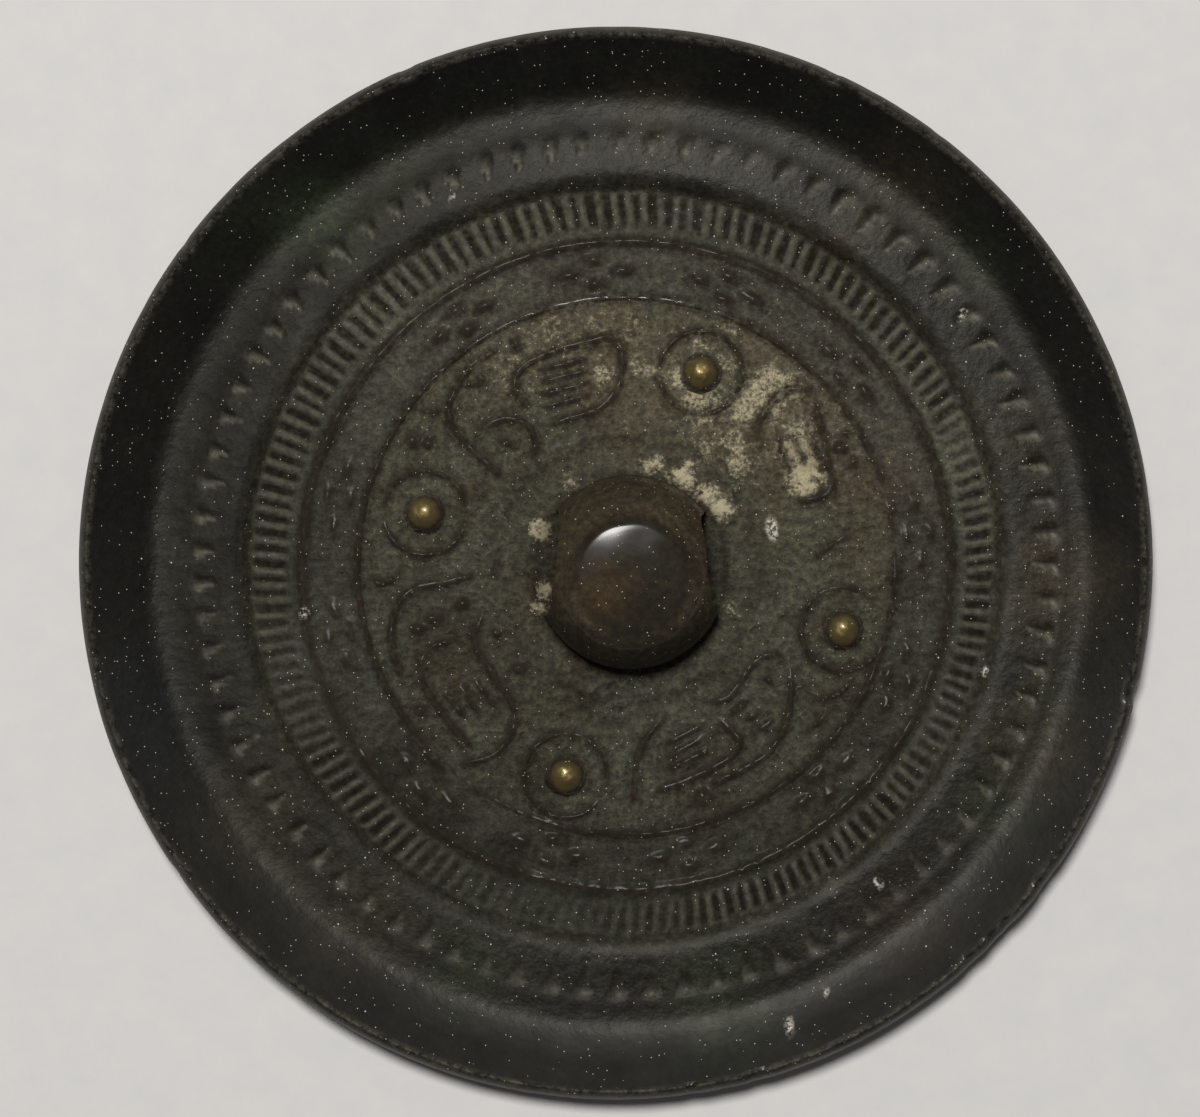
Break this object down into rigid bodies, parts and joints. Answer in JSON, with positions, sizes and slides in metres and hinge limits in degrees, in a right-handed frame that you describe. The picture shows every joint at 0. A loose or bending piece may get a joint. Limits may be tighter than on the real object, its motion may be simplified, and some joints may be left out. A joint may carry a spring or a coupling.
{
  "type": "ancient bronze mirror",
  "caption": "Round cast bronze mirror lying decorated back up: high rim, sawtooth and comb bands, nipples with line-drawn birds, and a pierced domed knob.",
  "frame": {"origin": "middle of the outline, on the plane of the flat spot of the polished face", "axes": "+Z out of the decorated back, +X along the cord hole through the knob, +Y across it"},
  "size_m": [0.1, 0.1, 0.0103],
  "materials": {
    "bronze": "dark patinated cast bronze, dull in the ground and faintly polished on what stands up"
  },
  "bodies": {
    "root": {"mirror": "bronze"}
  },
  "joints": []
}
